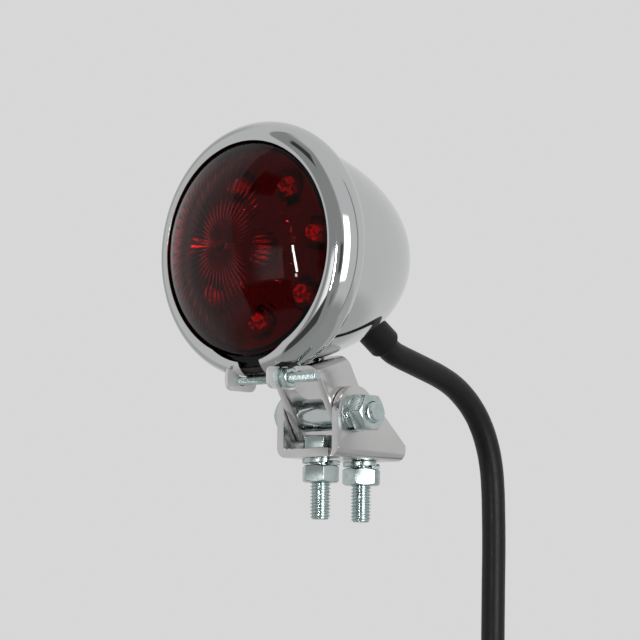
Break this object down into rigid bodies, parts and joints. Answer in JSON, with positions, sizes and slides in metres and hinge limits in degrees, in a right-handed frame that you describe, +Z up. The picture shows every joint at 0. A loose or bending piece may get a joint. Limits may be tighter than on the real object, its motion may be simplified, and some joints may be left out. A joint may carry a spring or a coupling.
{
  "type": "motorcycle tail light",
  "caption": "Round chrome tail light with a domed smoked red lens in a split trim ring, on a bent steel bracket that tilts on a bolt and is fixed by threaded studs.",
  "frame": {"origin": "middle of the lower bracket's underside, halfway between the mounting studs", "axes": "+Z up, away from the mounting face; the lens faces -Y; +X along the pivot bolt towards its nut"},
  "size_m": [0.0752, 0.1288, 0.1829],
  "materials": {
    "chrome_plate": "bright chrome plate",
    "zinc_steel": "bright zinc plate",
    "smoked_lens": "clear smoked red, polished",
    "gasket_rubber": "matte black",
    "bright_plastic": "metallised, bright",
    "board_laminate": "green solder mask",
    "diode_red": "clear red",
    "black_plastic": "matte black",
    "ivory_plastic": "matte ivory",
    "sleeve_black": "soft matte black",
    "wire_red": "red insulation",
    "wire_yellow": "yellow insulation",
    "wire_black": "black insulation",
    "tinned_copper": "tinned strands"
  },
  "bodies": {
    "base": {"lower_bracket": "chrome_plate", "mounting_bolts": "zinc_steel", "mounting_spring_washers": "zinc_steel", "mounting_nuts": "zinc_steel", "pivot_bolt": "zinc_steel", "pivot_spring_washer": "zinc_steel", "pivot_nut": "zinc_steel"},
    "lamp": {"upper_bracket": "chrome_plate", "housing": "chrome_plate", "trim_ring": "chrome_plate", "pivot_spacer": "chrome_plate", "bracket_screws": "zinc_steel", "bracket_nuts": "zinc_steel", "pinch_screw": "zinc_steel", "pinch_washer": "zinc_steel", "pinch_nut": "zinc_steel", "board_screws": "zinc_steel", "lens": "smoked_lens", "lens_gasket": "gasket_rubber", "cable_grommet": "gasket_rubber", "reflector": "bright_plastic", "led_board": "board_laminate", "leds": "diode_red", "board_resistors": "black_plastic", "lead_terminal": "ivory_plastic", "cable_sleeve": "sleeve_black", "inner_leads": "wire_red", "wire_brake": "wire_red", "wire_tail": "wire_yellow", "wire_earth": "wire_black", "wire_tips": "tinned_copper"}
  },
  "joints": [
    {"name": "tilt_hinge", "type": "hinge", "parent": "base", "child": "lamp", "pos_m": [0, -0.007, 0.0129], "axis": [-1, 0, 0], "range_deg": [-30, 45]}
  ]
}
